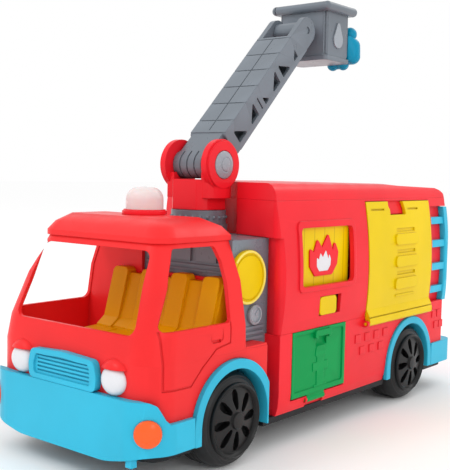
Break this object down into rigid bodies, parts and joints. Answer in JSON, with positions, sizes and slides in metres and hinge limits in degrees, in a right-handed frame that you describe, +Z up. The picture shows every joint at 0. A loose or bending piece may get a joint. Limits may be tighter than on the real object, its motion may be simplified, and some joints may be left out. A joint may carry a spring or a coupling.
{
  "type": "toy fire engine",
  "caption": "Toy fire engine with an open cab, hinged side hatches, rolling wheels, a push beacon and a swivelling lift arm that carries a bucket.",
  "frame": {"origin": "on the ground under the middle of the vehicle", "axes": "+Z up, -Y towards the front bumper, +X the vehicle's left side as a driver sits in it"},
  "size_m": [0.1418, 0.35, 0.2894],
  "materials": {
    "black_plastic": "satin moulded",
    "steel": "bright",
    "deep_red_plastic": "gloss moulded",
    "red_plastic": "gloss moulded",
    "yellow_plastic": "gloss moulded",
    "blue_plastic": "gloss moulded",
    "white_lens": "gloss",
    "orange_lens": "gloss",
    "grey_plastic": "satin moulded",
    "silver_plastic": "satin moulded",
    "beacon_plastic": "frosted translucent",
    "cyan_plastic": "gloss moulded",
    "green_plastic": "gloss moulded",
    "tyre_rubber": "matt moulded, rubber look",
    "rim_plastic": "satin moulded"
  },
  "bodies": {
    "vehicle": {"chassis_base": "black_plastic", "battery_door": "black_plastic", "chassis_screws": "steel", "lower_body": "deep_red_plastic", "cab_shell": "red_plastic", "cab_floor": "deep_red_plastic", "cab_roof": "red_plastic", "seat_unit": "yellow_plastic", "front_bumper": "blue_plastic", "grille": "blue_plastic", "headlight_left": "white_lens", "headlight_right": "white_lens", "indicator_left": "orange_lens", "indicator_right": "orange_lens", "front_arch_left": "blue_plastic", "front_arch_right": "blue_plastic", "rear_arch_left": "blue_plastic", "rear_arch_right": "blue_plastic", "rear_bumper": "blue_plastic", "pump_module": "grey_plastic", "pump_disc": "yellow_plastic", "pump_dial": "silver_plastic", "cargo_shell": "deep_red_plastic", "cargo_roof": "deep_red_plastic", "picture_panel": "yellow_plastic", "picture_emblem": "deep_red_plastic", "picture_core": "white_lens", "rear_ladder_left": "blue_plastic", "rear_ladder_right": "blue_plastic", "beacon_ring": "deep_red_plastic", "beacon_spring": "steel", "turntable_ring": "grey_plastic"},
    "front_axle_set": {"axle_front": "steel", "tyre_front_left": "tyre_rubber", "tyre_front_right": "tyre_rubber", "rim_front_left": "rim_plastic", "rim_front_right": "rim_plastic"},
    "rear_axle_set": {"axle_rear": "steel", "tyre_rear_left": "tyre_rubber", "tyre_rear_right": "tyre_rubber", "rim_rear_left": "rim_plastic", "rim_rear_right": "rim_plastic"},
    "turret_set": {"turret": "deep_red_plastic", "lift_pin": "silver_plastic"},
    "boom": {"boom": "grey_plastic"},
    "bucket_set": {"bucket": "grey_plastic", "bucket_badges": "silver_plastic", "water_cannon": "cyan_plastic"},
    "beacon_button": {"beacon_dome": "beacon_plastic"},
    "ramp_hatch_left": {"ramp_hatch_left": "yellow_plastic"},
    "ramp_hatch_right": {"ramp_hatch_right": "yellow_plastic"},
    "side_hatch_left": {"side_hatch_left": "green_plastic"},
    "side_hatch_right": {"side_hatch_right": "green_plastic"},
    "side_latch": {"side_latch": "yellow_plastic"}
  },
  "joints": [
    {"name": "front_axle_roll", "type": "hinge", "parent": "vehicle", "child": "front_axle_set", "pos_m": [0, -0.105, 0.0275], "axis": [1, 0, 0], "continuous": true},
    {"name": "rear_axle_roll", "type": "hinge", "parent": "vehicle", "child": "rear_axle_set", "pos_m": [0, 0.103, 0.0275], "axis": [1, 0, 0], "continuous": true},
    {"name": "turret_swivel", "type": "hinge", "parent": "vehicle", "child": "turret_set", "pos_m": [0, -0.062, 0.1425], "axis": [0, 0, 1], "range_deg": [-170, 170]},
    {"name": "boom_lift", "type": "hinge", "parent": "turret_set", "child": "boom", "pos_m": [0, -0.062, 0.171], "axis": [1, 0, 0], "range_deg": [-39, 30]},
    {"name": "bucket_level", "type": "hinge", "parent": "boom", "child": "bucket_set", "pos_m": [0, 0.03452, 0.26752], "axis": [1, 0, 0], "range_deg": [-30, 39]},
    {"name": "beacon_push", "type": "slide", "parent": "vehicle", "child": "beacon_button", "axis": [0, 0, -1], "range_m": [0, 0.0025], "stiffness_N_per_m": 400, "deforming": ["beacon_spring"]},
    {"name": "ramp_hatch_left_fold", "type": "hinge", "parent": "vehicle", "child": "ramp_hatch_left", "pos_m": [0.0687, 0.08425, 0.0649], "axis": [0, 1, 0], "range_deg": [0, 120]},
    {"name": "ramp_hatch_right_fold", "type": "hinge", "parent": "vehicle", "child": "ramp_hatch_right", "pos_m": [-0.0687, 0.08425, 0.0649], "axis": [0, -1, 0], "range_deg": [0, 120]},
    {"name": "side_hatch_left_fold", "type": "hinge", "parent": "vehicle", "child": "side_hatch_left", "pos_m": [0.065, -0.021, 0.0246], "axis": [0, 1, 0], "range_deg": [0, 95]},
    {"name": "side_hatch_right_fold", "type": "hinge", "parent": "vehicle", "child": "side_hatch_right", "pos_m": [-0.065, -0.021, 0.0246], "axis": [0, -1, 0], "range_deg": [0, 95]},
    {"name": "latch_slide", "type": "slide", "parent": "vehicle", "child": "side_latch", "axis": [0, 1, 0], "range_m": [0, 0.005]}
  ],
  "couplings": [
    {"joint": "bucket_level", "follows": "boom_lift", "ratio": -1}
  ]
}
